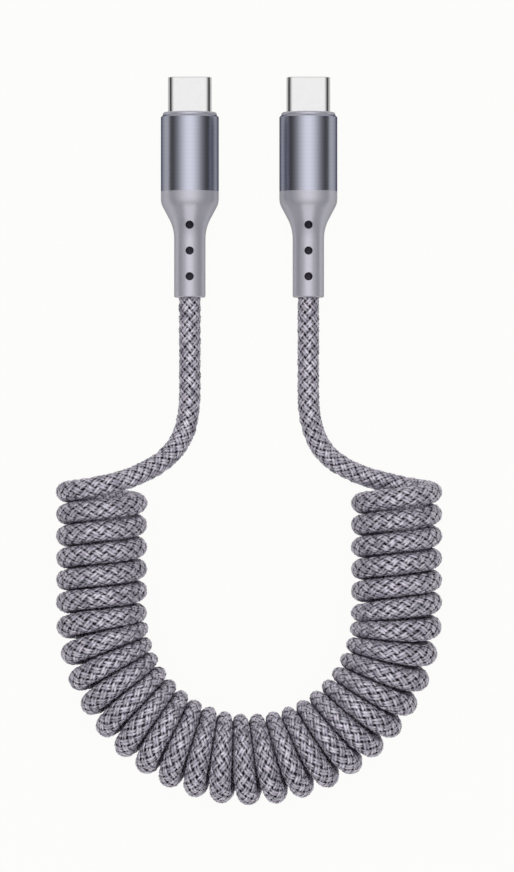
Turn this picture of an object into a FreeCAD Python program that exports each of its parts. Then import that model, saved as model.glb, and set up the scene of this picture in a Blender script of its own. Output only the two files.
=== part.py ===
# Coiled USB-C to USB-C charging cable: two plugs, their plain leads and the close-wound coil
# between them, lying on a flat surface with the coil bent into a U.
# Millimetres. +Z is up, +Y is the way the plugs push in, and X runs from one plug to the other.
import FreeCAD
import Part
import Sketcher

import math
import os

Vector = FreeCAD.Vector

doc = FreeCAD.newDocument("coiled_cable")
sheet = doc.addObject("Spreadsheet::Sheet", "dims")

# Driving dimensions
DIMENSIONS = {
    # drawn steel shell, to the standard plug's outline
    "shell_width": 8.25,
    "shell_height": 2.4,
    "shell_wall": 0.3,
    "shell_exposed": 6.65,
    "shell_embedded": 6.0,
    "shell_edge_chamfer": 0.12,
    # moulded contact carrier in the shell, with the slot for the socket's tongue
    "carrier_clearance": 0.05,
    "carrier_recess": 0.3,
    "carrier_embedded": 4.0,
    "carrier_roof": 0.15,
    "carrier_side_wall": 0.125,
    "tongue_slot_height": 0.9,
    "tongue_slot_depth": 5.6,
    # spring contacts
    "contact_pitch": 0.5,
    "contact_width": 0.25,
    "contact_thickness": 0.15,
    "contact_clearance": 0.04,
    "contact_tail": 2.9,
    "contact_setback": 1.2,
    "contact_dip": 0.06,
    # latch plate
    "latch_thickness": 0.2,
    "latch_clearance": 0.03,
    "latch_arm_width": 0.2,
    "latch_arm_gap": 0.02,
    "latch_hook": 0.2,
    "latch_hook_length": 0.5,
    "latch_setback": 0.9,
    # circuit board and wires
    "board_side_gap": 0.5,
    "board_length": 6.9,
    "board_thickness": 0.6,
    "board_gap": 0.1,
    "wire_overlap": 2.0,
    "power_wire_diameter": 1.0,
    "power_wire_offset": 0.9,
    "signal_wire_diameter": 0.7,
    "signal_wire_pitch": 1.0,
    # inner mould, housing and barrel
    "mould_height": 3.6,
    "mould_tail_step": 0.5,
    "mould_tail_length": 1.65,
    "mould_clearance": 0.03,
    "housing_side_wall": 0.765,
    "housing_corner_wall": 0.5,
    "collar_height": 0.55,
    "collar_lip": 0.13,
    "collar_chamfer": 0.22,
    "barrel_wall": 0.5,
    "barrel_length": 14.3,
    "barrel_chamfer": 0.35,
    "barrel_clearance": 0.03,
    # strain relief
    "boot_length": 19.95,
    "boot_shoulder_length": 2.25,
    "boot_taper_length": 4.7,
    "boot_neck_wall": 0.9,
    "boot_shoulder_round": 3.4,
    "boot_neck_round": 7.9,
    "boot_end_chamfer": 0.2,
    "boot_hole_diameter": 1.55,
    "boot_hole_pitch": 4.83,
    "boot_hole_from_end": 3.9,
    # crimp ring on the cut end of the braid
    "crimp_length": 3.0,
    "crimp_wall": 0.42,
    "crimp_clearance": 0.03,
    # cable, coil and the places of the plugs
    "cable_diameter": 4.0,
    "cable_clearance": 0.05,
    "coil_diameter": 17.0,
    "coil_bend_radius": 27.65,
    "coil_column_length": 23.3,
    "coil_set_back": 59.1,
    "lead_straight": 22.4,
    "plug_spacing": 22.3,
}
for row, (alias, number) in enumerate(DIMENSIONS.items(), start=1):
    sheet.set(f"A{row}", alias)
    sheet.set(f"B{row}", str(number))
    sheet.setAlias(f"B{row}", alias)
doc.recompute()


def total(*aliases):
    """The sum of some driving dimensions, as the sheet holds them."""
    return sum(float(sheet.get(alias)) for alias in aliases)


# Contact places along a row, in pitches from the middle. Only the circuits that a charging cable uses
# have one: ground, supply, configuration and a data pair above, and ground and supply below.
UPPER_CONTACTS = (-5.5, -2.5, -1.5, -0.5, 0.5, 2.5, 5.5)
LOWER_CONTACTS = (-5.5, -2.5, 1.5, 2.5, 5.5)
# Where a contact's beam is highest and where it touches, as shares of its free length.
BEAM_TOP, BEAM_TOUCH = 0.4, 0.82
SIDES = {"left": -1, "right": 1}
BOOT_HOLES = 3

# Expressions that several pieces share. Along a plug, 0 is the collar's front face and minus is back.
SHELL_INNER_WIDTH = "(dims.shell_width - 2 * dims.shell_wall)"
SHELL_INNER_HEIGHT = "(dims.shell_height - 2 * dims.shell_wall)"
CARRIER_WIDTH = f"({SHELL_INNER_WIDTH} - 2 * dims.carrier_clearance)"
CARRIER_HEIGHT = f"({SHELL_INNER_HEIGHT} - 2 * dims.carrier_clearance)"
CARRIER_FRONT = "(dims.shell_exposed - dims.carrier_recess)"
CARRIER_LENGTH = f"(dims.carrier_embedded + {CARRIER_FRONT})"
SLOT_BOTTOM = f"({CARRIER_FRONT} - dims.tongue_slot_depth)"
LATCH_REACH = f"({CARRIER_WIDTH} / 2 - dims.carrier_side_wall - dims.latch_clearance)"
LATCH_INSIDE = f"({LATCH_REACH} - dims.latch_arm_width)"
SLOT_HALF_WIDTH = f"({LATCH_INSIDE} - dims.latch_arm_gap)"
GROOVE_NEAR = "(dims.board_thickness / 2 - dims.contact_clearance)"
GROOVE_FAR = f"({CARRIER_HEIGHT} / 2 - dims.carrier_roof)"
CONTACT_LEVEL = "(dims.board_thickness / 2 + dims.contact_thickness / 2)"
CONTACT_TOP = f"({GROOVE_FAR} - dims.contact_clearance - dims.contact_thickness / 2)"
BOARD_FRONT = "(dims.carrier_embedded + dims.board_gap)"
BOARD_BACK = f"({BOARD_FRONT} + dims.board_length)"
BOARD_WIDTH = f"({SHELL_INNER_WIDTH} - 2 * dims.board_side_gap)"
HOUSING_RADIUS = "(dims.shell_width / 2 + dims.mould_clearance + dims.housing_side_wall)"
BARREL_BORE_RADIUS = f"({HOUSING_RADIUS} + dims.barrel_clearance)"
BARREL_RADIUS = f"({BARREL_BORE_RADIUS} + dims.barrel_wall)"
COLLAR_RADIUS = f"({BARREL_BORE_RADIUS} + dims.collar_lip)"
CAVITY_HALF_HEIGHT = "(dims.mould_height / 2 + dims.mould_clearance)"
CAVITY_HALF_WIDTH = f"sqrt(({HOUSING_RADIUS} - dims.housing_corner_wall) ^ 2 - {CAVITY_HALF_HEIGHT} ^ 2)"
BARREL_END = "(dims.collar_height + dims.barrel_length)"
CABLE_END = f"({BARREL_END} + dims.mould_tail_length)"
BOOT_END = f"({BARREL_END} + dims.boot_length)"
RING_BORE_RADIUS = "(dims.cable_diameter / 2 + dims.crimp_clearance)"
RING_RADIUS = f"({RING_BORE_RADIUS} + dims.crimp_wall)"
RING_SEAT_RADIUS = f"({RING_RADIUS} + dims.crimp_clearance)"
TAIL_RADIUS = f"({RING_SEAT_RADIUS} + dims.mould_tail_step)"
PLUG_LENGTH = f"(dims.shell_exposed + {BOOT_END})"
PLUG_FACE = f"({PLUG_LENGTH} / 2 - dims.shell_exposed)"


# Helpers for sketches
def new_sketch(body, name, role, offset="0"):
    """A sketch on one of the body's own planes, moved along the plane's normal by offset."""
    plane = next(feature for feature in body.Origin.OriginFeatures if feature.Role == role)
    sketch = body.newObject("Sketcher::SketchObject", name)
    sketch.AttachmentSupport = [(plane, "")]
    sketch.MapMode = "FlatFace"
    sketch.setExpression("AttachmentOffset.Base.z", offset)
    return sketch


def add_outline(sketch, corners):
    """A closed outline of straight lines. Each corner is a pair of expressions."""
    first = sketch.GeometryCount
    count = len(corners)
    start = [Vector(*(sheet.evalExpression(expression) for expression in corner)) for corner in corners]
    for i in range(count):
        sketch.addGeometry(Part.LineSegment(start[i], start[(i + 1) % count]))
    for i in range(count):
        after = first + (i + 1) % count
        sketch.addConstraint(Sketcher.Constraint("Coincident", first + i, 2, after, 1))
    for i, corner in enumerate(corners):
        for kind, expression, number in zip(("DistanceX", "DistanceY"), corner, start[i]):
            index = sketch.addConstraint(Sketcher.Constraint(kind, -1, 1, first + i, 1, number))
            sketch.setExpression(f"Constraints[{index}]", expression)


def round_corner(sketch, before, after, radius):
    """A tangent arc between two lines of an outline, in place of the corner where they meet."""
    lines = [sketch.Geometry[line] for line in (before, after)]
    middles = [(line.StartPoint + line.EndPoint) / 2 for line in lines]
    number = float(sheet.evalExpression(radius))
    trim, keep_corner = True, True
    arc = sketch.GeometryCount
    sketch.fillet(before, after, *middles, number, trim, keep_corner)
    index = sketch.addConstraint(Sketcher.Constraint("Radius", arc, number))
    sketch.setExpression(f"Constraints[{index}]", radius)


def add_rectangle(sketch, low_across, low_up, high_across, high_up):
    low, high = (low_across, low_up), (high_across, high_up)
    add_outline(sketch, [low, (high_across, low_up), high, (low_across, high_up)])


def add_round_ended_slot(sketch, width, height):
    """A flat-sided outline with half-round ends, centred on the sketch's origin."""
    first = sketch.GeometryCount
    half, radius = 3.0, 1.0
    up = Vector(0, 0, 1)
    quarter = math.pi / 2
    right_circle = Part.Circle(Vector(half, 0, 0), up, radius)
    left_circle = Part.Circle(Vector(-half, 0, 0), up, radius)
    sketch.addGeometry(Part.ArcOfCircle(right_circle, -quarter, quarter))
    sketch.addGeometry(Part.LineSegment(Vector(half, radius, 0), Vector(-half, radius, 0)))
    sketch.addGeometry(Part.ArcOfCircle(left_circle, quarter, 3 * quarter))
    sketch.addGeometry(Part.LineSegment(Vector(-half, -radius, 0), Vector(half, -radius, 0)))
    right, top, left, bottom = range(first, first + 4)
    for one, other in ((right, top), (top, left), (left, bottom), (bottom, right)):
        sketch.addConstraint(Sketcher.Constraint("Tangent", one, 2, other, 1))
    sketch.addConstraint(Sketcher.Constraint("Horizontal", top))
    sketch.addConstraint(Sketcher.Constraint("PointOnObject", right, 3, -1))
    sketch.addConstraint(Sketcher.Constraint("Symmetric", right, 3, left, 3, -1, 1))
    centre = sketch.addConstraint(Sketcher.Constraint("DistanceX", -1, 1, right, 3, half))
    ends = sketch.addConstraint(Sketcher.Constraint("Radius", right, radius))
    sketch.setExpression(f"Constraints[{centre}]", f"({width} - {height}) / 2")
    sketch.setExpression(f"Constraints[{ends}]", f"{height} / 2")


def add_circle(sketch, across, up, radius):
    index = sketch.addGeometry(Part.Circle(Vector(1, 1, 0), Vector(0, 0, 1), 1.0))
    for kind, expression in (("DistanceX", across), ("DistanceY", up)):
        spot = sketch.addConstraint(Sketcher.Constraint(kind, -1, 1, index, 3, 1.0))
        sketch.setExpression(f"Constraints[{spot}]", expression)
    size = sketch.addConstraint(Sketcher.Constraint("Radius", index, 1.0))
    sketch.setExpression(f"Constraints[{size}]", radius)


# Helpers for bodies and their features
def new_body(label):
    body = doc.addObject("PartDesign::Body", label)
    body.Label = label
    return body


def pad(body, sketch, length, forwards=False, both_ways=False):
    """Grows the sketch into a solid, along its plane's normal unless forwards turns it round."""
    feature = body.newObject("PartDesign::Pad", "Pad")
    feature.Profile = sketch
    feature.setExpression("Length", length)
    feature.Reversed = forwards
    feature.Midplane = both_ways
    return feature


def pocket(body, sketch, length, backwards=False, both_ways=False):
    """Cuts the sketch into the body, and checks that it took something away."""
    doc.recompute()
    before = body.Shape.Volume
    feature = body.newObject("PartDesign::Pocket", "Pocket")
    feature.Profile = sketch
    feature.setExpression("Length", length)
    feature.Reversed = backwards
    feature.Midplane = both_ways
    doc.recompute()
    if body.Shape.Volume >= before:
        raise RuntimeError(f"a pocket in {body.Label} cut nothing")
    return feature


def revolve(body, sketch, angle=360.0):
    feature = body.newObject("PartDesign::Revolution", "Revolution")
    feature.Profile = sketch
    feature.ReferenceAxis = (sketch, ["V_Axis"])
    feature.Angle = angle
    return feature


def rim_edges(shape, along):
    """The names of the outermost ring of edges in the plane across Y at that place."""
    near = 1e-4
    flat = [e for e in shape.Edges if e.BoundBox.YLength < near and abs(e.BoundBox.YMin - along) < near]
    rim = max(Part.sortEdges(flat), key=lambda ring: Part.Wire(ring).BoundBox.DiagonalLength)
    names = enumerate(shape.Edges, start=1)
    return [f"Edge{i}" for i, edge in names if any(edge.isSame(other) for other in rim)]


def chamfer_rim(body, base, along, size):
    """A chamfer round the outside of the body at one place along Y."""
    doc.recompute()
    feature = body.newObject("PartDesign::Chamfer", "Chamfer")
    feature.Base = (base, rim_edges(base.Shape, along))
    feature.setExpression("Size", size)
    doc.recompute()
    return feature


def place(thing, across, along, up):
    for axis, expression in zip("xyz", (across, along, up)):
        thing.setExpression(f"Placement.Base.{axis}", expression)


def place_on_plug(thing, side, across="0", along="0", up="0"):
    """Puts a piece on its plug, by its place from the plug's axis and the collar's front face."""
    axis_across = f"{SIDES[side]} * dims.plug_spacing / 2"
    place(thing, f"{axis_across} + {across}", f"{PLUG_FACE} + {along}", f"{BARREL_RADIUS} + {up}")


# Plug: steel shell, contact carrier, contacts and latch
def make_shell(side):
    body = new_body(f"{side}_plug_shell")
    section = new_sketch(body, "Section", "XZ_Plane", "dims.shell_embedded")
    add_round_ended_slot(section, "dims.shell_width", "dims.shell_height")
    add_round_ended_slot(section, SHELL_INNER_WIDTH, SHELL_INNER_HEIGHT)
    tube = pad(body, section, "dims.shell_embedded + dims.shell_exposed", forwards=True)
    chamfer_rim(body, tube, total("shell_exposed"), "dims.shell_edge_chamfer")
    place_on_plug(body, side)
    return body


def make_contact_carrier(side):
    """The moulding in the shell: a tongue slot, a slit for the latch plate and a groove for each contact."""
    body = new_body(f"{side}_contact_carrier")
    block = new_sketch(body, "Block", "XZ_Plane", "dims.carrier_embedded")
    add_round_ended_slot(block, CARRIER_WIDTH, CARRIER_HEIGHT)
    pad(body, block, CARRIER_LENGTH, forwards=True)

    tongue = new_sketch(body, "TongueSlot", "XZ_Plane", f"-{CARRIER_FRONT}")
    half_high = "dims.tongue_slot_height / 2"
    add_rectangle(tongue, f"-{SLOT_HALF_WIDTH}", f"-{half_high}", SLOT_HALF_WIDTH, half_high)
    pocket(body, tongue, "dims.tongue_slot_depth", backwards=True)

    slit = new_sketch(body, "LatchSlit", "XZ_Plane", f"-{CARRIER_FRONT}")
    half_wide = f"({LATCH_REACH} + dims.latch_clearance)"
    half_thick = "(dims.latch_thickness / 2 + dims.latch_clearance)"
    add_rectangle(slit, f"-{half_wide}", f"-{half_thick}", half_wide, half_thick)
    pocket(body, slit, CARRIER_LENGTH, backwards=True)

    grooves = new_sketch(body, "ContactGrooves", "XZ_Plane", f"-{CARRIER_FRONT}")
    half_groove = "(dims.contact_width / 2 + dims.contact_clearance)"
    for row, low, high in (
        (UPPER_CONTACTS, GROOVE_NEAR, GROOVE_FAR),
        (LOWER_CONTACTS, f"-{GROOVE_FAR}", f"-{GROOVE_NEAR}"),
    ):
        for index in row:
            middle = f"{index} * dims.contact_pitch"
            add_rectangle(grooves, f"{middle} - {half_groove}", low, f"{middle} + {half_groove}", high)
    pocket(body, grooves, CARRIER_LENGTH, backwards=True)
    place_on_plug(body, side)
    return body


def make_contacts(side, row, places, facing):
    """A row of bent spring contacts: the tail on the board, the beam in its groove and the raised tip."""
    profile = doc.addObject("Sketcher::SketchObject", f"{side}_{row}_contact_profile")
    along_up = FreeCAD.Rotation(Vector(0, 1, 0), Vector(0, 0, 1), Vector(1, 0, 0))
    profile.Placement = FreeCAD.Placement(Vector(), along_up)
    tip = f"({CARRIER_FRONT} - dims.contact_setback)"
    beam = f"({tip} - {SLOT_BOTTOM})"
    line = [
        (f"-({BOARD_FRONT} + dims.contact_tail)", CONTACT_LEVEL),
        (SLOT_BOTTOM, CONTACT_LEVEL),
        (f"({SLOT_BOTTOM} + {BEAM_TOP} * {beam})", CONTACT_TOP),
        (f"({SLOT_BOTTOM} + {BEAM_TOUCH} * {beam})", f"({CONTACT_LEVEL} - dims.contact_dip)"),
        (tip, CONTACT_TOP),
    ]
    half = "dims.contact_thickness / 2"
    inner_side = [(along, f"{facing} * ({up} - {half})") for along, up in line]
    outer_side = [(along, f"{facing} * ({up} + {half})") for along, up in reversed(line)]
    add_outline(profile, inner_side + outer_side)
    strips = []
    for index in places:
        strip = doc.addObject("Part::Extrusion", f"{side}_{row}_contact")
        strip.Base = profile
        strip.DirMode = "Custom"
        strip.Dir = Vector(1, 0, 0)
        strip.Solid = True
        strip.setExpression("LengthFwd", "dims.contact_width")
        strip.setExpression("Placement.Base.x", f"{index} * dims.contact_pitch - dims.contact_width / 2")
        strips.append(strip)
    return group(f"{side}_{row}_contacts", strips, side)


def group(label, members, side=None):
    """Like pieces that share one node, as separate solids."""
    compound = doc.addObject("Part::Compound", label)
    compound.Label = label
    compound.Links = members
    if side:
        place_on_plug(compound, side)
    return compound


def make_latch_plate(side):
    """One stamped plate between the contact rows, with a hooked arm along each side of the tongue slot."""
    body = new_body(f"{side}_latch_plate")
    plate = new_sketch(body, "Plate", "XY_Plane")
    hook = f"({LATCH_INSIDE} - dims.latch_hook)"
    back = "-dims.carrier_embedded"
    front = f"({CARRIER_FRONT} - dims.latch_setback)"
    hook_back = f"({front} - dims.latch_hook_length)"
    right = [
        (LATCH_REACH, back),
        (LATCH_REACH, front),
        (hook, front),
        (hook, hook_back),
        (LATCH_INSIDE, hook_back),
        (LATCH_INSIDE, SLOT_BOTTOM),
    ]
    left = [(f"-{across}", along) for across, along in reversed(right)]
    add_outline(plate, right + left)
    pad(body, plate, "dims.latch_thickness", both_ways=True)
    place_on_plug(body, side)
    return body


# Plug: circuit board and wires
def make_board(side):
    board = doc.addObject("Part::Box", f"{side}_circuit_board")
    board.Label = f"{side}_circuit_board"
    board.setExpression("Length", BOARD_WIDTH)
    board.setExpression("Width", "dims.board_length")
    board.setExpression("Height", "dims.board_thickness")
    place_on_plug(board, side, f"-{BOARD_WIDTH} / 2", f"-{BOARD_BACK}", "-dims.board_thickness / 2")
    return board


def make_wire(side, label, diameter, across, facing):
    """A straight insulated wire, from its pad on the board to the cut end of the cable."""
    wire = doc.addObject("Part::Cylinder", label)
    wire.Label = label
    front = f"({BOARD_BACK} - dims.wire_overlap)"
    wire.setExpression("Radius", f"{diameter} / 2")
    wire.setExpression("Height", f"{CABLE_END} - {front}")
    wire.Placement.Rotation = FreeCAD.Rotation(Vector(1, 0, 0), 90)
    level = f"{facing} * (dims.board_thickness / 2 + {diameter} / 2)"
    place_on_plug(wire, side, across, f"-{front}", level)
    return wire


def make_wires(side):
    thick, thin = "dims.power_wire_diameter", "dims.signal_wire_diameter"
    power = make_wire(side, f"{side}_power_wire", thick, "-dims.power_wire_offset", 1)
    ground = make_wire(side, f"{side}_ground_wire", thick, "dims.power_wire_offset", 1)
    signals = []
    for index, use in enumerate(("configuration", "data_plus", "data_minus"), start=-1):
        across = f"{index} * dims.signal_wire_pitch"
        signals.append(make_wire(side, f"{side}_{use}_wire", thin, across, -1))
    return power, ground, group(f"{side}_signal_wires", signals)


# Plug: inner mould, housing, barrel, strain relief and crimp ring
def make_inner_mould(side, embedded):
    """The block moulded round the board and the wires, less everything that it encloses."""
    body = new_body(f"{side}_inner_mould_blank")
    block = new_sketch(body, "Block", "XZ_Plane", "dims.shell_embedded")
    half_wide, half_high = f"({CAVITY_HALF_WIDTH} - dims.mould_clearance)", "dims.mould_height / 2"
    add_rectangle(block, f"-{half_wide}", f"-{half_high}", half_wide, half_high)
    pad(body, block, f"{BARREL_END} - dims.shell_embedded")
    tail = new_sketch(body, "Tail", "XZ_Plane", BARREL_END)
    add_circle(tail, "0", "0", TAIL_RADIUS)
    pad(body, tail, "dims.mould_tail_length")
    place_on_plug(body, side)
    mould = doc.addObject("Part::Cut", f"{side}_inner_mould")
    mould.Label = f"{side}_inner_mould"
    mould.Base = body
    mould.Tool = group(f"{side}_enclosed", embedded)
    return mould


def make_housing(side):
    """The moulded carrier inside the barrel. Its collar is the rim that shows in front of the barrel."""
    body = new_body(f"{side}_housing")
    half = new_sketch(body, "HalfSection", "XY_Plane")
    corners = [
        ("0", "0"),
        (COLLAR_RADIUS, "0"),
        (COLLAR_RADIUS, "-dims.collar_height"),
        (HOUSING_RADIUS, "-dims.collar_height"),
        (HOUSING_RADIUS, f"-{BARREL_END}"),
        ("0", f"-{BARREL_END}"),
    ]
    add_outline(half, corners)
    turned = revolve(body, half)
    chamfer_rim(body, turned, 0.0, "dims.collar_chamfer")
    slot = new_sketch(body, "ShellSlot", "XZ_Plane")
    room = "2 * dims.mould_clearance"
    add_round_ended_slot(slot, f"(dims.shell_width + {room})", f"(dims.shell_height + {room})")
    pocket(body, slot, "dims.shell_embedded", backwards=True)
    cavity = new_sketch(body, "Cavity", "XZ_Plane", BARREL_END)
    low, high = f"-{CAVITY_HALF_HEIGHT}", CAVITY_HALF_HEIGHT
    add_rectangle(cavity, f"-{CAVITY_HALF_WIDTH}", low, CAVITY_HALF_WIDTH, high)
    pocket(body, cavity, f"{BARREL_END} - dims.shell_embedded")
    place_on_plug(body, side)
    return body


def make_barrel(side):
    body = new_body(f"{side}_barrel")
    half = new_sketch(body, "HalfSection", "XY_Plane")
    add_rectangle(half, BARREL_BORE_RADIUS, f"-{BARREL_END}", BARREL_RADIUS, "-dims.collar_height")
    tube = revolve(body, half)
    chamfer_rim(body, tube, -total("collar_height"), "dims.barrel_chamfer")
    place_on_plug(body, side)
    return body


def make_strain_relief(side):
    """The tapered boot behind the barrel, with a row of round holes through both walls of its neck."""
    body = new_body(f"{side}_strain_relief")
    half = new_sketch(body, "HalfSection", "XY_Plane")
    bore = "(dims.cable_diameter / 2 + dims.cable_clearance)"
    neck = f"({bore} + dims.boot_neck_wall)"
    tail = f"({TAIL_RADIUS} + dims.mould_clearance)"
    shoulder = f"({BARREL_END} + dims.boot_shoulder_length)"
    ring_end = f"({CABLE_END} + dims.crimp_length + 2 * dims.crimp_clearance)"
    corners = [
        (tail, f"-{BARREL_END}"),
        (BARREL_RADIUS, f"-{BARREL_END}"),
        (BARREL_RADIUS, f"-{shoulder}"),
        (neck, f"-({shoulder} + dims.boot_taper_length)"),
        (neck, f"-{BOOT_END}"),
        (bore, f"-{BOOT_END}"),
        (bore, f"-{ring_end}"),
        (RING_SEAT_RADIUS, f"-{ring_end}"),
        (RING_SEAT_RADIUS, f"-{CABLE_END}"),
        (tail, f"-{CABLE_END}"),
    ]
    add_outline(half, corners)
    shoulder_side, taper_side, neck_side = 1, 2, 3
    round_corner(half, shoulder_side, taper_side, "dims.boot_shoulder_round")
    round_corner(half, taper_side, neck_side, "dims.boot_neck_round")
    turned = revolve(body, half)
    end_at = total("collar_height", "barrel_length", "boot_length")
    chamfer_rim(body, turned, -end_at, "dims.boot_end_chamfer")
    holes = new_sketch(body, "Holes", "XY_Plane")
    for index in range(BOOT_HOLES):
        along = f"-({BOOT_END} - dims.boot_hole_from_end - {index} * dims.boot_hole_pitch)"
        add_circle(holes, "0", along, "dims.boot_hole_diameter / 2")
    pocket(body, holes, f"4 * {BARREL_RADIUS}", both_ways=True)
    place_on_plug(body, side)
    return body


def make_crimp_ring(side):
    body = new_body(f"{side}_crimp_ring")
    half = new_sketch(body, "HalfSection", "XY_Plane")
    front = f"({CABLE_END} + dims.crimp_clearance)"
    add_rectangle(half, RING_BORE_RADIUS, f"-({front} + dims.crimp_length)", RING_RADIUS, f"-{front}")
    revolve(body, half)
    place_on_plug(body, side)
    return body


# Cable: the coil's form, and the two leads
def make_coil():
    """The form of the close-wound coil: an open tube as thick as the cable, bent into a U that lies flat."""
    body = new_body("coil")
    outside = "dims.coil_diameter / 2"
    inside = f"({outside} - dims.cable_diameter)"
    bend = new_sketch(body, "BendSection", "XZ_Plane")
    for radius in (outside, inside):
        add_circle(bend, "-dims.coil_bend_radius", "0", radius)
    half_turn = revolve(body, bend, angle=180.0)
    doc.recompute()
    half_turn.Reversed = half_turn.Shape.CenterOfMass.y > 0
    for name, facing in SIDES.items():
        column = new_sketch(body, f"{name}Column", "XZ_Plane")
        for radius in (outside, inside):
            add_circle(column, f"{facing} * dims.coil_bend_radius", "0", radius)
        pad(body, column, "dims.coil_column_length", forwards=True)
    place(body, "0", f"-({PLUG_LENGTH} / 2 + dims.coil_set_back)", outside)
    doc.recompute()
    return body


# Where each lead bends after its straight start, from the middle of its end of the coil: inwards to the
# other plug, along towards the plugs, and up, in radii of the turns. The left lead climbs to the top of
# the first turn, and the right one comes out from the bottom of the last.
LEAD_BENDS = {
    "left": [(2.0, 0.92, 0.05), (0.8, 0.29, 0.785), (0.03, -0.4, 0.985)],
    "right": [(2.02, 0.91, -0.68), (0.8, 0.28, -0.785), (0.0, -0.4, -0.97)],
}
# How much of the shorter run each arc takes up.
ARC_SHARE = 0.45


def rounded_path(points):
    """Straight runs through the points, joined at each by the largest tangent arc that its runs allow."""
    edges, radii = [], []
    at = points[0]
    for before, corner, after in zip(points, points[1:], points[2:]):
        back, onward = before - corner, after - corner
        reach = ARC_SHARE * min(back.Length, onward.Length)
        back.normalize()
        onward.normalize()
        half_turn = (math.pi - back.getAngle(onward)) / 2
        radius = reach / math.tan(half_turn)
        inward = back + onward
        inward.normalize()
        first, last = corner + back * reach, corner + onward * reach
        middle = corner + inward * (radius / math.cos(half_turn) - radius)
        edges.append(Part.LineSegment(at, first).toShape())
        edges.append(Part.Arc(first, middle, last).toShape())
        radii.append(radius)
        at = last
    edges.append(Part.LineSegment(at, points[-1]).toShape())
    return Part.Wire(edges), radii


def make_lead(side, strain_relief, coil):
    """The plain length of cable from inside the plug's strain relief to the end of the coil."""
    facing = SIDES[side]
    face = strain_relief.Placement.Base
    start = face - Vector(0, total("collar_height", "barrel_length", "mould_tail_length"), 0)
    first_bend = face - Vector(0, total("collar_height", "barrel_length", "boot_length", "lead_straight"), 0)
    column_end = Vector(facing * total("coil_bend_radius"), total("coil_column_length"), 0)
    coil_end = coil.Placement.Base + column_end
    turn_radius = (total("coil_diameter") - total("cable_diameter")) / 2
    bends = []
    for inwards, along, up in LEAD_BENDS[side]:
        bends.append(coil_end + turn_radius * Vector(-facing * inwards, along, up))
    path, radii = rounded_path([start, first_bend] + bends)
    radius = total("cable_diameter") / 2
    section = Part.Wire(Part.Circle(start, Vector(0, 1, 0), radius).toShape())
    tube = path.makePipe(Part.Face(section))
    share = tube.Volume / (math.pi * radius**2 * path.Length)
    print(f"{side} lead: path {path.Length:.1f} mm, volume {share:.4f} of its section times its length")
    print(f"{side} lead: bend radii in mm " + ", ".join(f"{bend:.1f}" for bend in radii))
    lead = doc.addObject("Part::Feature", f"{side}_lead")
    lead.Label = f"{side}_lead"
    lead.Shape = tube.cut(coil.Shape)
    return lead


# Building every piece
coil = make_coil()
pieces = [coil]
for side in SIDES:
    upper = make_contacts(side, "upper", UPPER_CONTACTS, 1)
    lower = make_contacts(side, "lower", LOWER_CONTACTS, -1)
    board = make_board(side)
    power, ground, signals = make_wires(side)
    inside = [upper, lower, board, power, ground, signals]
    strain_relief = make_strain_relief(side)
    doc.recompute()
    pieces += inside
    pieces += [make_shell(side), make_contact_carrier(side), make_latch_plate(side)]
    pieces += [make_inner_mould(side, inside), make_housing(side), make_barrel(side)]
    pieces += [strain_relief, make_crimp_ring(side), make_lead(side, strain_relief, coil)]
doc.recompute()

# Checking the document and writing one file for each piece
for thing in doc.Objects:
    if {"Invalid", "Error"} & set(thing.State):
        raise RuntimeError(f"{thing.Label} did not build: {thing.State}")
for piece in pieces:
    if piece.Shape.isNull() or not piece.Shape.isValid():
        raise RuntimeError(f"{piece.Label} has no valid shape")
os.makedirs("parts", exist_ok=True)
for piece in pieces:
    piece.Shape.exportStep(f"parts/{piece.Label}.step")
    print(f"{piece.Label}: solids {len(piece.Shape.Solids)}, volume {piece.Shape.Volume:.2f} mm3")
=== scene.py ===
# %% [markdown]
# # A coiled charging cable
# The real thing is one braided cable, wound in its middle into a springy coil, with a metal-sleeved plug
# on each end. The CAD model already holds every rigid piece at its true place and size, so this lesson
# loads it as a fixed frame, keeps those solids and gives them their finishes. What the CAD model leaves
# plain is the cable, which is wound and braided here.

# %% Load the frame
import math

import bpy
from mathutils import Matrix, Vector


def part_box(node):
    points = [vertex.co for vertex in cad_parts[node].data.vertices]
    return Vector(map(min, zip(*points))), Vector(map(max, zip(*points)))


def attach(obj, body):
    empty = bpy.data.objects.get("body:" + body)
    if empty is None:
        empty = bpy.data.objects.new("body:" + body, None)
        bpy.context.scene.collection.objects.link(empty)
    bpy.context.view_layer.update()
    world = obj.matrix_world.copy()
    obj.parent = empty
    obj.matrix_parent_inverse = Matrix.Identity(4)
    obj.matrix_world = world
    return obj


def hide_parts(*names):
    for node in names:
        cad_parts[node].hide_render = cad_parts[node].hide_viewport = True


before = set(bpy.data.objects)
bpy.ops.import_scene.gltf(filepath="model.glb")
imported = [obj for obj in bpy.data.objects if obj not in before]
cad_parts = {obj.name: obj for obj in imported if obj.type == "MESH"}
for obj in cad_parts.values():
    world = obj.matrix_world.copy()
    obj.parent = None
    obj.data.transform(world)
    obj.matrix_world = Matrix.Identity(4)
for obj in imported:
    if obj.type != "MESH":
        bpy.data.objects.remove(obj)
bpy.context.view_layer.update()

MM = 0.001
print("nodes:", len(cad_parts))

# %% [markdown]
# ## Camera
# The photograph looks straight down on the cable, through a long lens and from a little more than arm's
# length: only the rims that face the middle of the picture show a sliver of their sides. A camera could
# be aimed by a constraint, but one that looks down needs no turning in Blender. So only its place and its
# lens are worked out, from the scale of the photograph.

# %% Camera
PHOTO_WIDE, PHOTO_HIGH = 514, 872
MM_PER_PIXEL = 0.1875
# Where the frame's origin, midway between the plugs, falls in the photograph.
MIDWAY_PIXEL = (249.05, 186.5)
COIL_AXIS_HEIGHT = 8.5 * MM
CAMERA_DISTANCE = 0.9
SENSOR = 36.0

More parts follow.
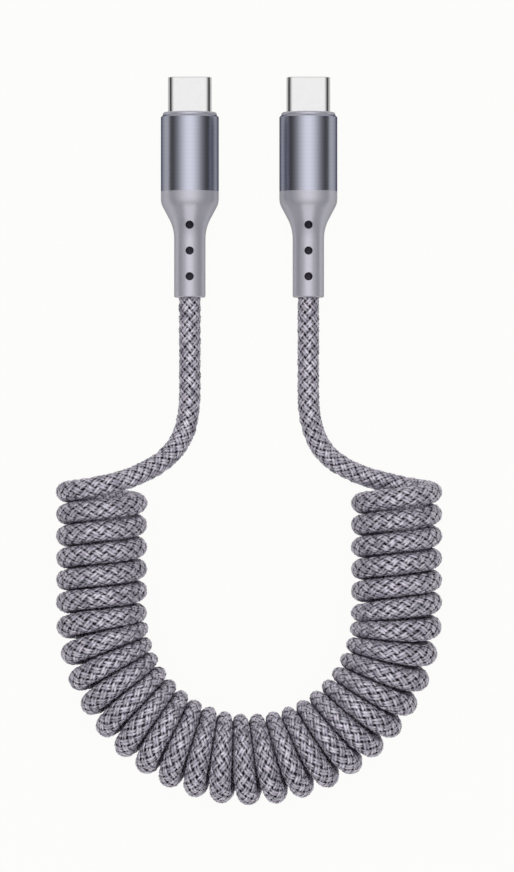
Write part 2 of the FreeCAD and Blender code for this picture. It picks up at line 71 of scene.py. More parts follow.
camera_data = bpy.data.cameras.new("camera")
camera_data.sensor_width = SENSOR
camera_data.lens = SENSOR * CAMERA_DISTANCE / (PHOTO_HIGH * MM_PER_PIXEL * MM)
camera = bpy.data.objects.new("camera", camera_data)
camera.location = (
    (PHOTO_WIDE / 2 - MIDWAY_PIXEL[0]) * MM_PER_PIXEL * MM,
    (MIDWAY_PIXEL[1] - PHOTO_HIGH / 2) * MM_PER_PIXEL * MM,
    COIL_AXIS_HEIGHT + CAMERA_DISTANCE,
)
bpy.context.scene.collection.objects.link(camera)
bpy.context.scene.camera = camera
bpy.context.scene.view_settings.view_transform = "Standard"
print("camera lens, mm:", round(camera_data.lens, 1))

# %% [markdown]
# ## Helpers for nodes and colours
# Both the shaders and the Geometry Nodes below are trees of nodes. They could be built node by node with
# many repeated lines, but one function that adds any node, sets its properties and fills its inputs lets
# each tree read as a list. Colours are written as the hex values that a colour picker shows, and turned
# to the linear light that Blender mixes.


# %% Nodes and colours
def add_node(tree, kind, links=None, **settings):
    """Adds a node with its settings, and fills its inputs with values or with other nodes' outputs."""
    node = tree.nodes.new(kind)
    for name, value in settings.items():
        setattr(node, name, value)
    for key, value in (links or {}).items():
        if isinstance(value, bpy.types.NodeSocket):
            tree.links.new(value, node.inputs[key])
        else:
            node.inputs[key].default_value = value
    return node


def linear(colour):
    """An sRGB hex colour as linear red, green, blue and a full alpha."""
    parts = [int(colour[i : i + 2], 16) / 255 for i in (1, 3, 5)]
    return [p / 12.92 if p <= 0.04045 else ((p + 0.055) / 1.055) ** 2.4 for p in parts] + [1.0]


def new_material(name, **inputs):
    """A material with one Principled shader. Underscores in the names of its inputs stand for spaces."""
    material = bpy.data.materials.new(name)
    material.use_nodes = True
    tree = material.node_tree
    tree.nodes.clear()
    values = {key.replace("_", " "): value for key, value in inputs.items()}
    shader = add_node(tree, "ShaderNodeBsdfPrincipled", values)
    add_node(tree, "ShaderNodeOutputMaterial", {"Surface": shader.outputs["BSDF"]})
    return material, tree, shader


print("a middle grey in linear light:", round(linear("#808080")[0], 3))

# %% [markdown]
# ## Light
# Shiny metal shows what stands round it, so the light is drawn as a studio would build it: a large soft
# box overhead, darkness round it and a paler horizon. The soft box makes the bright stripe along each
# barrel, and the darkness makes the two dark stripes beside it. It could be a lamp, but a ramp over the
# directions of the world fades out as softly as the stripes do. It is longer along the plugs than across
# them, and it leans their way, so that every turn of the coil has a lit and a shaded side. A smaller
# lamp, low on the other side, lights the shoulders of the boots.

# %% Soft box
LIGHT_TILT = math.radians(20)
# How long the soft box is, as a multiple of its width.
LIGHT_LENGTH = 1.3
# Each stop is the cosine of an angle across the soft box, from its middle, and how bright it is there.
SKY = [
    (0.0, 0.34),
    (0.057, 0.065),
    (0.375, 0.085),
    (0.656, 0.4),
    (0.893, 1.27),
    (0.963, 1.74),
    (1.0, 1.85),
]

world = bpy.data.worlds.new("studio")
bpy.context.scene.world = world
world.use_nodes = True
tree = world.node_tree
tree.nodes.clear()
direction = add_node(tree, "ShaderNodeTexCoord")
from_box = add_node(
    tree,
    "ShaderNodeMapping",
    {
        "Vector": direction.outputs["Generated"],
        "Rotation": (-LIGHT_TILT, 0.0, 0.0),
        "Scale": (1.0, LIGHT_LENGTH, 1.0),
    },
    vector_type="TEXTURE",
)
unit = add_node(tree, "ShaderNodeVectorMath", {0: from_box.outputs[0]}, operation="NORMALIZE")
nearness = add_node(tree, "ShaderNodeSeparateXYZ", {"Vector": unit.outputs[0]})
ramp = add_node(tree, "ShaderNodeValToRGB", {"Fac": nearness.outputs["Z"]})
stops = ramp.color_ramp.elements
for index, (position, strength) in enumerate(SKY):
    # A new ramp already has two stops.
    stop = stops[index] if index < 2 else stops.new(position)
    stop.position = position
    stop.color = (strength, strength, strength, 1.0)
sky = add_node(tree, "ShaderNodeBackground", {"Color": ramp.outputs["Color"]})
add_node(tree, "ShaderNodeOutputWorld", {"Surface": sky.outputs["Background"]})
print("stops of the soft box:", len(stops))

# %% Low lamp
LAMP_LEAN = math.radians(58)
LAMP_DISTANCE = 0.8
LAMP_SIZE = (0.6, 0.5)
LAMP_POWER = 1.4

lamp_data = bpy.data.lights.new("low_lamp", "AREA")
lamp_data.shape = "RECTANGLE"
lamp_data.size, lamp_data.size_y = LAMP_SIZE
lamp_data.energy = LAMP_POWER
lamp = bpy.data.objects.new("low_lamp", lamp_data)
lamp.rotation_euler = (LAMP_LEAN, 0.0, 0.0)
lamp.location = LAMP_DISTANCE * Vector((0.0, -math.sin(LAMP_LEAN), math.cos(LAMP_LEAN)))
bpy.context.scene.collection.objects.link(lamp)
print("lamp at, m:", [round(number, 2) for number in lamp.location])

# %% [markdown]
# ## Floor
# The photograph's background is plain white. More light could bleach a floor to that, but it would bleach
# the cable too. So the floor is pale paper, and for the camera and for mirrored rays it mostly glows
# white, as a studio's backdrop does. The rest of it is plain paper, which keeps the cable's shadow.

# %% Floor
FLOOR_SIZE = 12.0
FLOOR_GLOW = 0.95

reach = FLOOR_SIZE / 2
corners = [(-reach, -reach, 0), (reach, -reach, 0), (reach, reach, 0), (-reach, reach, 0)]
floor_mesh = bpy.data.meshes.new("floor")
floor_mesh.from_pydata(corners, [], [(0, 1, 2, 3)])
floor = bpy.data.objects.new("floor", floor_mesh)
bpy.context.scene.collection.objects.link(floor)
# Uncoated paper is pale and has no shine.
paper, tree, matte = new_material("uncoated_paper", Base_Color=linear("#D4D4D0"), Roughness=0.9)
rays = add_node(tree, "ShaderNodeLightPath").outputs
seen = add_node(
    tree, "ShaderNodeMath", {0: rays["Is Camera Ray"], 1: rays["Is Glossy Ray"]}, operation="ADD"
)
seen_at_all = add_node(
    tree,
    "ShaderNodeMath",
    {0: seen.outputs[0], 1: rays["Is Transmission Ray"]},
    operation="ADD",
    use_clamp=True,
)
share = add_node(
    tree, "ShaderNodeMath", {0: seen_at_all.outputs[0], 1: FLOOR_GLOW}, operation="MULTIPLY"
)
glow = add_node(tree, "ShaderNodeEmission", {"Color": linear("#FFFFFD")})
sheet = add_node(
    tree,
    "ShaderNodeMixShader",
    {0: share.outputs[0], 1: matte.outputs["BSDF"], 2: glow.outputs["Emission"]},
)
tree.links.new(sheet.outputs[0], tree.nodes["Material Output"].inputs["Surface"])
floor_mesh.materials.append(paper)
print("floor:", FLOOR_SIZE, "m")

# %% [markdown]
# ## The cable's route
# The cable leaves the left plug, climbs over the first turn of the coil, winds round and round while the
# coil itself goes round its U, and comes out from under the last turn to the right plug. It could be
# drawn as leads and rings that are joined up, but one smooth NURBS curve takes the whole way without a
# joint. Its leads are a few points given one by one, as in the CAD model, and the coil's points come from a
# loop: each one sits on a ring round the coil's axis, a little wider than high, and a little further
# along than the one before. A curve of order 3 cuts inside its points, so the ring is drawn that much
# larger.

# %% Points of the route
barrel_low, barrel_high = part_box("right_barrel")
PLUG_ACROSS, _, PLUG_HEIGHT = barrel_low.lerp(barrel_high, 0.5)
# Where the cable is cut off inside each plug.
CUT_END = -2.425 * MM
# The U's bend, and the place where both columns of the coil start.
BEND_RADIUS = 27.65 * MM
BEND_MIDDLE = -79.825 * MM
COIL_START = -57.3 * MM
# Half the width and half the height of the ring.
WINDING_ACROSS = 6.5 * MM
WINDING_UP = 6.29 * MM
TURNS = 32
POINTS_PER_TURN = 16
# Points that the winding goes on at each end, past its whole turns.
END_POINTS = 3

COLUMN = COIL_START - BEND_MIDDLE
AXIS_LENGTH = 2 * COLUMN + math.pi * BEND_RADIUS
PITCH = AXIS_LENGTH / TURNS


def coil_axis(along):
    """A place on the coil's axis and the way that points out of the U there."""
    if along < COLUMN:
        return Vector((-BEND_RADIUS, COIL_START - along, COIL_AXIS_HEIGHT)), Vector((-1, 0, 0))
    if along > AXIS_LENGTH - COLUMN:
        left_over = AXIS_LENGTH - along
        return Vector((BEND_RADIUS, COIL_START - left_over, COIL_AXIS_HEIGHT)), Vector((1, 0, 0))
    turned = (along - COLUMN) / BEND_RADIUS
    outward = Vector((-math.cos(turned), -math.sin(turned), 0))
    return Vector((0, BEND_MIDDLE, COIL_AXIS_HEIGHT)) + BEND_RADIUS * outward, outward


def winding():
    """The coil's points, from over its first turn to under its last."""
    larger = 1 / math.cos(math.pi / POINTS_PER_TURN)
    points = []
    for step in range(-END_POINTS, TURNS * POINTS_PER_TURN + END_POINTS + 1):
        angle = 2 * math.pi * step / POINTS_PER_TURN
        middle, outward = coil_axis(PITCH * step / POINTS_PER_TURN)
        across = WINDING_ACROSS * math.cos(angle) * outward
        down = Vector((0, 0, -WINDING_UP * math.sin(angle)))
        points.append(middle + larger * (across + down))
    return points


left_lead = [
    (-PLUG_ACROSS, CUT_END, PLUG_HEIGHT),
    (-PLUG_ACROSS, -33.6 * MM, PLUG_HEIGHT),
    (-PLUG_ACROSS, -44.1 * MM, 5.6 * MM),
    (-14.4 * MM, -50.6 * MM, 8.4 * MM),
    (-21.0 * MM, -54.3 * MM, 12.4 * MM),
    (-25.8 * MM, -55.7 * MM, 14.8 * MM),
]
right_lead = [
    (25.6 * MM, -55.5 * MM, 2.15 * MM),
    (20.6 * MM, -54.1 * MM, 2.15 * MM),
    (14.2 * MM, -50.6 * MM, 3.2 * MM),
    (PLUG_ACROSS, -43.9 * MM, 5.3 * MM),
    (PLUG_ACROSS, -33.6 * MM, PLUG_HEIGHT),
    (PLUG_ACROSS, CUT_END, PLUG_HEIGHT),
]
route_points = left_lead + winding() + right_lead
print("pitch of the coil, mm:", round(PITCH / MM, 2), "route points:", len(route_points))

# %% The route's line
STEPS_PER_POINT = 4

route_data = bpy.data.curves.new("cable_route", "CURVE")
route_data.dimensions = "3D"
route_data.resolution_u = STEPS_PER_POINT
spline = route_data.splines.new("NURBS")
spline.points.add(len(route_points) - 1)
for point, place in zip(spline.points, route_points):
    point.co = (*place, 1.0)
spline.order_u = 3
spline.use_endpoint_u = True
route = bpy.data.objects.new("cable_route", route_data)
line = bpy.data.meshes.new_from_object(route)
line_points = [vertex.co.copy() for vertex in line.vertices]
cable_length = sum((b - a).length for a, b in zip(line_points, line_points[1:]))
print("cable length, m:", round(cable_length, 3), "line points:", len(line_points))

# %% [markdown]
# ## How the turns press together
# The braid is soft and its yarns are a little slack, so a free turn would be wider than the coil lets it
# be: each one is pressed flatter by its neighbours, most of all on the inside of the U. A simulation
# could find that shape, but the spacing of the turns already tells it. Each point of the line gets a
# vector that points along the coil's axis, and the square of its length is the share of the width that is
# lost there. The nodes that build the cable read it and pull their surfaces in along it.

# %% Pressing vectors
FREE_TURN_WIDTH = 4.5 * MM
# The stretch over which the columns pass into the bend.
BEND_BLEND = 6.0 * MM


def pressing(place):
    """The way the coil's axis runs at a place, as long as the root of the width that is lost there."""
    below = min(place.y - BEND_MIDDLE, 0.0)
    from_middle = Vector((place.x, below, 0))
    bent = min(max((BEND_MIDDLE + BEND_BLEND / 2 - place.y) / BEND_BLEND, 0.0), 1.0)
    spacing = PITCH * (1 + bent * (from_middle.length / BEND_RADIUS - 1))
    lost = max(0.0, 1 - spacing / FREE_TURN_WIDTH)
    return from_middle.cross(Vector((0, 0, 1))).normalized() * math.sqrt(lost)


press = line.attributes.new("press", "FLOAT_VECTOR", "POINT")
for entry, place in zip(press.data, line_points):
    entry.vector = pressing(place)
print("most width lost, %:", round(100 * max(entry.vector.length_squared for entry in press.data)))

# %% [markdown]
# ## Core and braid
# Under the braid is a dark jacket, which shows in the gaps and in the holes of the boots. Round it run
# twelve carriers of yarn, six each way, that pass over and under each other in turn. A carrier lays two
# yarns side by side, so its ribbon has two humps. The braid ends just inside the mouths of the boots. A
# pattern on a smooth tube could stand for it, but modelled yarns stay true from any side. Geometry Nodes
# make the core and the yarns with one tree: the line is copied once for each carrier, each copy is turned
# round the line like a thread on a screw, and a small section is drawn along it. With no turns and no
# wave the same tree gives the plain core.

# %% Inputs of the tree
CARRIER_INPUTS = [
    ("Line", "NodeSocketGeometry"),
    ("Section", "NodeSocketObject"),
    ("Start", "NodeSocketFloat"),
    ("End", "NodeSocketFloat"),
    ("Step", "NodeSocketFloat"),
    ("Carriers", "NodeSocketInt"),
    ("First angle", "NodeSocketFloat"),
    ("Angle between", "NodeSocketFloat"),
    ("Twist", "NodeSocketFloat"),
    ("Radius", "NodeSocketFloat"),
    ("Wave", "NodeSocketFloat"),
    ("Wave rate", "NodeSocketFloat"),
    ("Wave start", "NodeSocketFloat"),
    ("Wobble", "NodeSocketFloat"),
    ("Wobble scale", "NodeSocketFloat"),
    ("Material", "NodeSocketMaterial"),
]
print("inputs of the carrier tree:", len(CARRIER_INPUTS))


# %% Lines of the carriers
def carrier_lines(tree, given):
    """The covered stretch of the line in even steps, copied once for each carrier."""
    curve = add_node(tree, "GeometryNodeMeshToCurve", {"Mesh": given["Line"]})
    covered = add_node(
        tree,
        "GeometryNodeTrimCurve",
        {"Curve": curve.outputs[0], "Start": given["Start"], "End": given["End"]},
        mode="FACTOR",
    )
    even = add_node(
        tree,
        "GeometryNodeResampleCurve",
        {"Curve": covered.outputs[0], "Length": given["Step"]},
        mode="LENGTH",
    )
    straight = add_node(
        tree, "GeometryNodeSetCurveNormal", {"Curve": even.outputs[0]}, mode="MINIMUM_TWIST"
    )
    return add_node(
        tree,
        "GeometryNodeDuplicateElements",
        {"Geometry": straight.outputs[0], "Amount": given["Carriers"]},
        domain="SPLINE",
    )


# %% Their way round the cable
def carrier_offsets(tree, given, number):
    """How a carrier with this number leaves the line: turned like a thread, waved and pressed."""
    along = add_node(tree, "GeometryNodeSplineParameter").outputs["Length"]
    normal = add_node(tree, "GeometryNodeInputNormal").outputs["Normal"]
    tangent = add_node(tree, "GeometryNodeInputTangent").outputs["Tangent"]
    turned = add_node(
        tree,
        "ShaderNodeMath",
        {0: along, 1: given["Twist"], 2: given["First angle"]},
        operation="MULTIPLY_ADD",
    )
    angle = add_node(
        tree,
        "ShaderNodeMath",
        {0: number, 1: given["Angle between"], 2: turned.outputs[0]},
        operation="MULTIPLY_ADD",
    )
    outward = add_node(
        tree,
        "ShaderNodeVectorRotate",
        {"Vector": normal, "Axis": tangent, "Angle": angle.outputs[0]},
        rotation_type="AXIS_ANGLE",
    )
    waved = add_node(
        tree,
        "ShaderNodeMath",
        {0: along, 1: given["Wave rate"], 2: given["Wave start"]},
        operation="MULTIPLY_ADD",
    )
    over_under = add_node(tree, "ShaderNodeMath", {0: waved.outputs[0]}, operation="COSINE")
    radius = add_node(
        tree,
        "ShaderNodeMath",
        {0: over_under.outputs[0], 1: given["Wave"], 2: given["Radius"]},
        operation="MULTIPLY_ADD",
    )
    offset = add_node(
        tree,
        "ShaderNodeVectorMath",
        {0: outward.outputs[0], "Scale": radius.outputs[0]},
        operation="SCALE",
    )
    press = add_node(tree, "GeometryNodeInputNamedAttribute", {"Name": "press"}, data_type="FLOAT_VECTOR")
    reach = add_node(
        tree,
        "ShaderNodeVectorMath",
        {0: offset.outputs[0], 1: press.outputs["Attribute"]},
        operation="DOT_PRODUCT",
    )
    lost = add_node(
        tree,
        "ShaderNodeVectorMath",
        {0: press.outputs["Attribute"], "Scale": reach.outputs["Value"]},
        operation="SCALE",
    )
    pressed = add_node(
        tree, "ShaderNodeVectorMath", {0: offset.outputs[0], 1: lost.outputs[0]}, operation="SUBTRACT"
    )
    return outward.outputs[0], along, over_under.outputs[0], pressed.outputs[0]


# %% Laying them
def laid_carriers(tree, given):
    """The carriers' lines at their places, a little uneven and facing outwards, and what is known there."""
    copies = carrier_lines(tree, given)
    outward, along, over, pressed = carrier_offsets(tree, given, copies.outputs["Duplicate Index"])
    kept = add_node(tree, "GeometryNodeCaptureAttribute", {"Geometry": copies.outputs["Geometry"]})
    known = (("Outward", "VECTOR", outward), ("Along", "FLOAT", along), ("Over", "FLOAT", over))
    for name, kind, value in known:
        kept.capture_items.new(kind, name)
        tree.links.new(value, kept.inputs[name])
    laid = add_node(
        tree,
        "GeometryNodeSetPosition",
        {"Geometry": kept.outputs["Geometry"], "Offset": pressed},
    )
    noise = add_node(tree, "ShaderNodeTexNoise", {"Scale": given["Wobble scale"]})
    # Noise runs from 0 to 1, so a half is taken off it.
    both_ways = add_node(
        tree, "ShaderNodeVectorMath", {0: noise.outputs["Color"], 1: (0.5, 0.5, 0.5)}, operation="SUBTRACT"
    )
    shift = add_node(
        tree, "ShaderNodeVectorMath", {0: both_ways.outputs[0], "Scale": given["Wobble"]}, operation="SCALE"
    )
    uneven = add_node(
        tree, "GeometryNodeSetPosition", {"Geometry": laid.outputs[0], "Offset": shift.outputs[0]}
    )
    facing = add_node(
        tree,
        "GeometryNodeSetCurveNormal",
        {"Curve": uneven.outputs[0], "Normal": kept.outputs["Outward"]},
        mode="FREE",
    )
    return facing.outputs[0], kept.outputs


# %% Ribbons
def drawn_ribbons(tree, given, lines, known):
    """The section drawn along the lines. Each point stores where it is: across, along and over its yarn."""
    section = add_node(tree, "GeometryNodeObjectInfo", {"Object": given["Section"]})
    place = add_node(tree, "GeometryNodeInputPosition")
    drawn = add_node(tree, "GeometryNodeCaptureAttribute", {"Geometry": section.outputs["Geometry"]})
    drawn.capture_items.new("VECTOR", "Place")
    tree.links.new(place.outputs[0], drawn.inputs["Place"])
    ribbon = add_node(
        tree,
        "GeometryNodeCurveToMesh",
        {"Curve": lines, "Profile Curve": drawn.outputs["Geometry"], "Fill Caps": True},
    )
    across = add_node(tree, "ShaderNodeSeparateXYZ", {"Vector": drawn.outputs["Place"]})
    yarn = add_node(
        tree,
        "ShaderNodeCombineXYZ",
        {"X": across.outputs["Y"], "Y": known["Along"], "Z": known["Over"]},
    )
    marked = add_node(
        tree,
        "GeometryNodeStoreNamedAttribute",
        {"Geometry": ribbon.outputs[0], "Name": "yarn", "Value": yarn.outputs[0]},
        data_type="FLOAT_VECTOR",
        domain="POINT",
    )
    return marked.outputs[0]


# %% The whole tree
def braid_tree():
    """A tree that lays carriers round a line and gives one plain mesh of them."""
    tree = bpy.data.node_groups.new("carriers_along_a_line", "GeometryNodeTree")
    for name, kind in CARRIER_INPUTS:
        tree.interface.new_socket(name, in_out="INPUT", socket_type=kind)
    tree.interface.new_socket("Mesh", in_out="OUTPUT", socket_type="NodeSocketGeometry")
    given = add_node(tree, "NodeGroupInput").outputs
    ribbons = drawn_ribbons(tree, given, *laid_carriers(tree, given))
    smooth = add_node(tree, "GeometryNodeSetShadeSmooth", {"Geometry": ribbons})
    real = add_node(tree, "GeometryNodeRealizeInstances", {"Geometry": smooth.outputs[0]})
    done = add_node(
        tree, "GeometryNodeSetMaterial", {"Geometry": real.outputs[0], "Material": given["Material"]}
    )
    add_node(tree, "NodeGroupOutput", {"Mesh": done.outputs[0]})
    return tree


CARRIER_TREE = braid_tree()
print("nodes in the carrier tree:", len(CARRIER_TREE.nodes))

# %% [markdown]
# ## Finishes of the cable
# The braid is spun polyester yarn in a heather of pale greys. Each yarn is a bundle of fine fibres with a
# silky lustre, which a share of metallic shine stands for. Its colour carries painted shade where its edge
# dips under a neighbour, which leaves short dark commas between the yarns. A picture of a braid could give
# that painted shade, but the tree has stored where each point is on its yarn, and that gives it at any
# size.
# The core is a dark, rubbery jacket.

# %% Painted shade at the dips
YARN_WIDTH = 0.62 * MM
# A yarn's edge starts and ends at these shares of its width, from its crown.
EDGE_START, EDGE_END = 0.2, 0.5
# The wave goes from 1, over, to -1, under. A yarn starts to dip and has dipped at these heights.
DIP_START, DIP_END = 0.9, -0.1
# Edge and dip are added up into painted shade. The sum paints no shade yet at the first of these, and full
# shade at the second.
PAINTED_SHADE_START, PAINTED_SHADE_END = 0.4, 1.6


def painted_shade_at_dips(tree, yarn):
    """Painted shade on a yarn, from where a point is on it: only where its edge dips under a neighbour."""
    parts = add_node(tree, "ShaderNodeSeparateXYZ", {"Vector": yarn})
    from_middle = add_node(tree, "ShaderNodeMath", {0: parts.outputs["X"]}, operation="ABSOLUTE")
    past_crown = add_node(
        tree, "ShaderNodeMath", {0: from_middle.outputs[0], 1: YARN_WIDTH / 2}, operation="SUBTRACT"
    )
    from_crown = add_node(tree, "ShaderNodeMath", {0: past_crown.outputs[0]}, operation="ABSOLUTE")
    start, end = EDGE_START * YARN_WIDTH, EDGE_END * YARN_WIDTH
    edge = add_node(
        tree,
        "ShaderNodeMapRange",
        {"Value": from_crown.outputs[0], "From Min": start, "From Max": end},
        interpolation_type="SMOOTHSTEP",
    )
    dip = add_node(
        tree,
        "ShaderNodeMapRange",
        {"Value": parts.outputs["Z"], "From Min": DIP_START, "From Max": DIP_END},
        interpolation_type="SMOOTHSTEP",
    )
    both = add_node(
        tree, "ShaderNodeMath", {0: edge.outputs["Result"], 1: dip.outputs["Result"]}, operation="ADD"
    )
    dark = add_node(
        tree,
        "ShaderNodeMapRange",
        {"Value": both.outputs[0], "From Min": PAINTED_SHADE_START, "From Max": PAINTED_SHADE_END},
        interpolation_type="SMOOTHSTEP",
    )
    return dark.outputs["Result"]


# %% Cable materials
# Heather is patches of paler and darker fibres, and a little of each patch's own tint.
HEATHER_SIZE = 1.1 * MM
HEATHER_RANGE = (0.32, 0.62)
HEATHER_TINT = 0.07
# The size across a yarn, along it and in height. Fibres are really about 0.02 mm thick, and are drawn
# coarser to show.
FIBRE_SIZE = Vector((0.1 * MM, 1.2 * MM, 1.0))
FIBRE_BUMP, FIBRE_DEPTH = 0.4, 0.04 * MM
MOTTLE_SIZE = 0.8 * MM


def spun_polyester_yarn():
    """Silky pale greys with fine fibres along each yarn, and painted shade where its edge dips under a
    neighbour.
    """
    material, tree, shader = new_material("spun_polyester_yarn", Metallic=0.45, Roughness=0.5)
    yarn = add_node(tree, "ShaderNodeAttribute", attribute_name="yarn").outputs["Vector"]
    at = add_node(tree, "ShaderNodeTexCoord")
    heather = add_node(
        tree,
        "ShaderNodeTexNoise",
        {"Vector": at.outputs["Object"], "Scale": 1 / HEATHER_SIZE, "Detail": 2.0},
    )
    pale = add_node(tree, "ShaderNodeValToRGB", {"Fac": heather.outputs["Fac"]})
    for stop, place, tone in zip(pale.color_ramp.elements, HEATHER_RANGE, ("#9A93A2", "#E1DCEA")):
        stop.position, stop.color = place, linear(tone)
    # A Mix node's inputs 6 and 7 and its output 2 are its colours.
    tinted = add_node(
        tree,
        "ShaderNodeMix",
        {"Factor": HEATHER_TINT, 6: pale.outputs["Color"], 7: heather.outputs["Color"]},
        data_type="RGBA",
    )
    # The painted shade of the dips mixes this dark colour into the yarn's own.
    colour = add_node(
        tree,
        "ShaderNodeMix",
        {"Factor": painted_shade_at_dips(tree, yarn), 6: tinted.outputs[2], 7: linear("#35303C")},
        data_type="RGBA",
    )
    tree.links.new(colour.outputs[2], shader.inputs["Base Color"])
    stretched = add_node(tree, "ShaderNodeVectorMath", {0: yarn, 1: FIBRE_SIZE}, operation="DIVIDE")
    fibres = add_node(
        tree, "ShaderNodeTexNoise", {"Vector": stretched.outputs[0], "Scale": 1.0, "Detail": 1.0}
    )
    bump = add_node(
        tree,
        "ShaderNodeBump",
        {"Height": fibres.outputs["Fac"], "Strength": FIBRE_BUMP, "Distance": FIBRE_DEPTH},
    )
    tree.links.new(bump.outputs["Normal"], shader.inputs["Normal"])
    return material


def rubber_jacket():
    """A soft jacket: it only has to be dark and dull behind the yarns."""
    material, tree, shader = new_material("extruded_rubber_jacket", Roughness=0.75)
    at = add_node(tree, "ShaderNodeTexCoord")
    mottle = add_node(
        tree, "ShaderNodeTexNoise", {"Vector": at.outputs["Object"], "Scale": 1 / MOTTLE_SIZE}
    )
    tone = add_node(tree, "ShaderNodeValToRGB", {"Fac": mottle.outputs["Fac"]})
    for stop, colour in zip(tone.color_ramp.elements, ("#35323B", "#56525E")):
        stop.color = linear(colour)
    tree.links.new(tone.outputs["Color"], shader.inputs["Base Color"])
    return material


YARN, JACKET = spun_polyester_yarn(), rubber_jacket()
print("materials:", YARN.name, JACKET.name)


# %% Helpers for laying
def section_object(name, outline):
    """A closed flat outline, given in millimetres, as a curve that the tree can draw along a line."""
    data = bpy.data.curves.new(name, "CURVE")
    data.dimensions = "3D"
    section = data.splines.new("POLY")
    section.points.add(len(outline) - 1)
    for point, (out, across) in zip(section.points, outline):
        point.co = (out * MM, across * MM, 0.0, 1.0)
    section.use_cyclic_u = True
    return bpy.data.objects.new(name, data)


def lay_carriers(name, inputs):
    """Runs the tree on the cable's line and keeps the result as a plain mesh."""
    carrier = bpy.data.objects.new(name, line)
    bpy.context.scene.collection.objects.link(carrier)
    modifier = carrier.modifiers.new("carriers", "NODES")
    modifier.node_group = CARRIER_TREE
    identifiers = {item.name: item.identifier for item in CARRIER_TREE.interface.items_tree}
    for key, value in inputs.items():
        modifier[identifiers[key]] = value
    evaluated = carrier.evaluated_get(bpy.context.evaluated_depsgraph_get())
    mesh = bpy.data.meshes.new_from_object(evaluated)
    carrier.modifiers.remove(modifier)
    carrier.data = mesh
    mesh.name = name
    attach(carrier, "root")
    print(name, "faces:", len(mesh.polygons))
    return carrier


# %% Core
# In one stitch a carrier goes over and under once.
STITCH = 2.1 * MM
# A section is in millimetres.
CORE_RADIUS = 1.45
CORE_SIDES = 24
CORE_STEPS_PER_STITCH = 3

circle = [2 * math.pi * i / CORE_SIDES for i in range(CORE_SIDES)]
core_section = [(CORE_RADIUS * math.cos(angle), CORE_RADIUS * math.sin(angle)) for angle in circle]
core = lay_carriers(
    "cable_core",
    {
        "Section": section_object("core_section", core_section),
        "Start": 0.0,
        "End": 1.0,
        "Step": STITCH / CORE_STEPS_PER_STITCH,
        "Carriers": 1,
        "Material": JACKET,
    },
)

# %% Yarns
CARRIERS_EACH_WAY = 6
STEPS_PER_STITCH = 6
BRAID_RADIUS = 1.82 * MM
BRAID_WAVE = 0.12 * MM
# Noise shifts the yarns a little, because a real braid is never quite even.
BRAID_WOBBLE = 0.45 * MM
WOBBLE_SIZE = 1.2 * MM
# The braid ends this far inside a boot, so the boot's holes show the bare jacket.
BRAID_IN_BOOT = 2.2 * MM
BOOT_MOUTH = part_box("left_strain_relief")[0].y
# The section goes outwards in X and across the two yarns in Y, in millimetres.
RIBBON_SECTION = [
    (-0.08, -0.62),
    (0.14, -0.32),
    (0.02, 0.0),
    (0.14, 0.32),
    (-0.08, 0.62),
    (-0.14, 0.0),
]

ribbon_section = section_object("ribbon_section", RIBBON_SECTION)
bare = (CUT_END - (BOOT_MOUTH + BRAID_IN_BOOT)) / cable_length
for way, sign, wave_start in (("right", 1, 0.0), ("left", -1, math.pi)):
    for half in range(2):
        ribbons = lay_carriers(
            f"braid_{way}_lay_{half + 1}",
            {
                "Section": ribbon_section,
                "Start": bare,
                "End": 1 - bare,
                "Step": STITCH / STEPS_PER_STITCH,
                "Carriers": CARRIERS_EACH_WAY // 2,
                "First angle": half * math.pi,
                "Angle between": 2 * math.pi / CARRIERS_EACH_WAY,
                "Twist": sign * 2 * math.pi / (CARRIERS_EACH_WAY * STITCH),
                "Radius": BRAID_RADIUS,
                "Wave": BRAID_WAVE,
                "Wave rate": 2 * math.pi / STITCH,
                "Wave start": wave_start,
                "Wobble": BRAID_WOBBLE,
                "Wobble scale": 1 / WOBBLE_SIZE,
                "Material": YARN,
            },
        )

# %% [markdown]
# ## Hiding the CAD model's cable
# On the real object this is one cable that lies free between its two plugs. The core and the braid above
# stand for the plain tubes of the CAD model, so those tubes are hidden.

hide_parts("left_lead", "coil", "right_lead")

# %% [markdown]
# ## Finishes of the plugs
# Every solid of the plugs is already right in the CAD model, so it only needs its finish. Each material
# starts from what the real piece is made of and how it was made. Most of them differ only in their tones,
# grain and gloss, so instead of a tree for each, one function and a table make them. The barrels get a
# tree of their own, for the rings that turning leaves on them.

# %% Turned aluminium
# What a slanting look at a metal mirrors: darker than its face, so it dims the edges of a round piece.
EDGE_TINT = linear("#50505A")
# Turning leaves rings about 0.1 mm apart, and they are drawn coarser to show.
RING_SPACING = 0.754 * MM


def anodised_aluminium():
    """Turned and anodised grey: soft stripes along the barrel, faint turning rings, and darker edges."""
    material, tree, shader = new_material(
        "turned_anodised_aluminium", Metallic=1.0, Roughness=0.28, Specular_Tint=EDGE_TINT
    )
    at = add_node(tree, "ShaderNodeTexCoord")
    # At a scale of 1, a wave texture repeats every tenth of pi.
    scale = math.pi / (10 * RING_SPACING)
    rings = add_node(
        tree,
        "ShaderNodeTexWave",
        {"Vector": at.outputs["Object"], "Scale": scale, "Distortion": 0.4, "Detail": 2.0},
        bands_direction="Y",
    )
    tone = add_node(tree, "ShaderNodeValToRGB", {"Fac": rings.outputs["Fac"]})
    for stop, colour in zip(tone.color_ramp.elements, ("#A3A5B2", "#A6A8B5")):
        stop.color = linear(colour)
    tree.links.new(tone.outputs["Color"], shader.inputs["Base Color"])
    return material


finishes = {"barrel": anodised_aluminium()}
print("barrel:", finishes["barrel"].name)

# %% Plain finishes
TONE_RANGE = (0.3, 0.7)
GRAIN_BUMP = 0.3
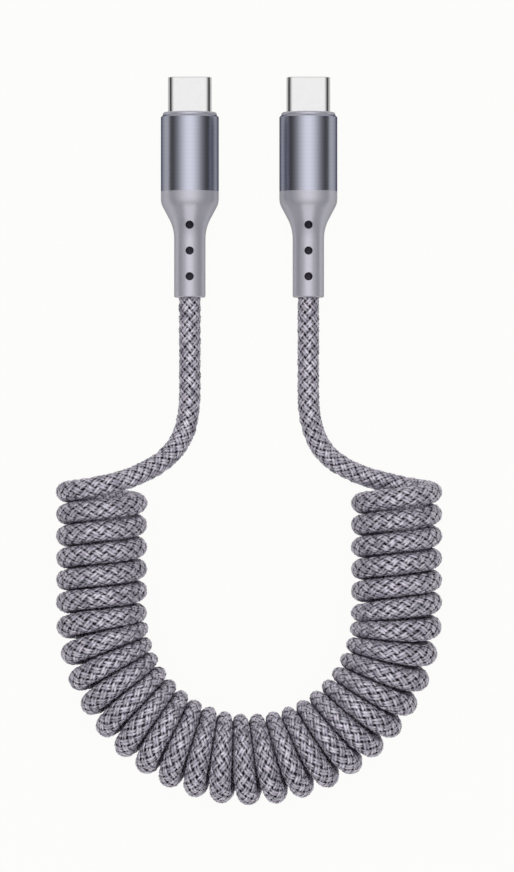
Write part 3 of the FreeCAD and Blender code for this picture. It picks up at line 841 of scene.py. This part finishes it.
# Each row is a node, its material, its grain and bump in mm, its two tones, how metallic it is and how
# rough. The grain is coarser than a real one, so that it shows.
PLAIN_FINISHES = [
    # Drawn steel is smooth enough to mirror the studio.
    ("plug_shell", "drawn_stainless_steel", 0.5, 0.0, "#B6B6B6", "#B9B9B9", 1.0, 0.12),
    # A glass-filled polymer is dull and black, with a fine grain.
    ("contact_carrier", "moulded_glass_filled_polymer", 0.15, 0.01, "#17171A", "#232327", 0.0, 0.5),
    # A thin layer of gold gives the contacts a warm shine.
    ("upper_contacts", "gold_plated_bronze", 0.2, 0.002, "#D3A24A", "#E0B562", 1.0, 0.2),
    # Stamped steel is grey and a little dull.
    ("latch_plate", "stamped_spring_steel", 0.3, 0.003, "#8E8E92", "#A0A0A4", 1.0, 0.3),
    # Solder mask is a green lacquer.
    ("circuit_board", "glass_epoxy_solder_mask", 0.4, 0.004, "#123B22", "#1B5230", 0.0, 0.3),
    # Extruded insulation is smooth, with a low sheen.
    ("power_wire", "extruded_red_pvc", 0.5, 0.004, "#A01818", "#B82222", 0.0, 0.45),
    ("ground_wire", "extruded_black_pvc", 0.5, 0.004, "#141416", "#202024", 0.0, 0.45),
    ("signal_wires", "extruded_white_pvc", 0.5, 0.004, "#D2D2CC", "#E2E2DC", 0.0, 0.45),
    # The block round the board is a milky, waxy plastic.
    ("inner_mould", "moulded_polyethylene", 0.6, 0.01, "#CFCFC8", "#DEDED8", 0.0, 0.5),
    # Pearl pigment gives the moulded boot a satin, half metallic sheen.
    ("strain_relief", "moulded_pearl_elastomer", 0.3, 0.004, "#BAB9C3", "#BFBEC8", 0.42, 0.32),
    # Pressed brass is yellow, with a soft shine.
    ("crimp_ring", "pressed_brass", 0.4, 0.004, "#B08A4A", "#C49C58", 1.0, 0.35),
]


def plain_finish(name, grain, depth, tones, metallic, roughness):
    """Colour that drifts between two tones, and a bump of the same grain, both in the piece's own space."""
    material, tree, shader = new_material(name, Metallic=metallic, Roughness=roughness)
    at = add_node(tree, "ShaderNodeTexCoord")
    noise = add_node(
        tree, "ShaderNodeTexNoise", {"Vector": at.outputs["Object"], "Scale": 1 / grain, "Detail": 3.0}
    )
    tone = add_node(tree, "ShaderNodeValToRGB", {"Fac": noise.outputs["Fac"]})
    for stop, place, colour in zip(tone.color_ramp.elements, TONE_RANGE, tones):
        stop.position, stop.color = place, linear(colour)
    tree.links.new(tone.outputs["Color"], shader.inputs["Base Color"])
    relief = add_node(
        tree,
        "ShaderNodeBump",
        {"Height": noise.outputs["Fac"], "Strength": GRAIN_BUMP, "Distance": depth},
    )
    tree.links.new(relief.outputs["Normal"], shader.inputs["Normal"])
    return material, shader


for piece, name, grain, depth, dark, light, metallic, roughness in PLAIN_FINISHES:
    finishes[piece], shader = plain_finish(
        name, grain * MM, depth * MM, (dark, light), metallic, roughness
    )
    # The boot's pigment lies under a clear skin, which dims what it mirrors towards the edges.
    if piece == "strain_relief":
        shader.inputs["Specular Tint"].default_value = EDGE_TINT
finishes["lower_contacts"] = finishes["upper_contacts"]
finishes["housing"] = finishes["strain_relief"]
print("materials of the plugs:", len(PLAIN_FINISHES) + 1)

# %% Finishes on the plugs
plugs = ("left", "right")
for plug in plugs:
    for piece, finish in finishes.items():
        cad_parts[f"{plug}_{piece}"].material_slots[0].material = finish
print("finished plug pieces:", len(finishes) * len(plugs))
